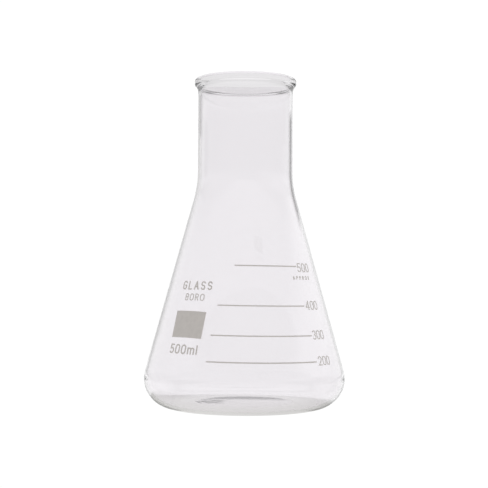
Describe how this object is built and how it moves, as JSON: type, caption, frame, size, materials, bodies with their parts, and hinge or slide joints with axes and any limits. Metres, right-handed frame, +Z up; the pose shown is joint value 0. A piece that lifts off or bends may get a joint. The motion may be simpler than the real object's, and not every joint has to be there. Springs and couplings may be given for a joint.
{
  "type": "erlenmeyer flask",
  "caption": "Conical glass laboratory flask with a wide straight neck, beaded rim, flat foot, printed volume scale and writing patch.",
  "frame": {"origin": "centre of the foot, on the surface that the flask stands on", "axes": "+Z up along the flask's axis of revolution, -Y towards the printed scale, +X to the scale's right"},
  "size_m": [0.1066, 0.1066, 0.175],
  "materials": {
    "glass": "clear borosilicate glass, fire polished",
    "enamel": "fired screen-printed enamel, satin, warm light grey"
  },
  "bodies": {
    "root": {"glass_vessel": "glass", "graduation_line_200": "enamel", "graduation_line_300": "enamel", "graduation_line_400": "enamel", "graduation_line_500": "enamel", "numeral_200": "enamel", "numeral_300": "enamel", "numeral_400": "enamel", "numeral_500": "enamel", "approx_mark": "enamel", "glass_mark": "enamel", "boro_mark": "enamel", "writing_patch": "enamel", "capacity_mark": "enamel"}
  },
  "joints": []
}
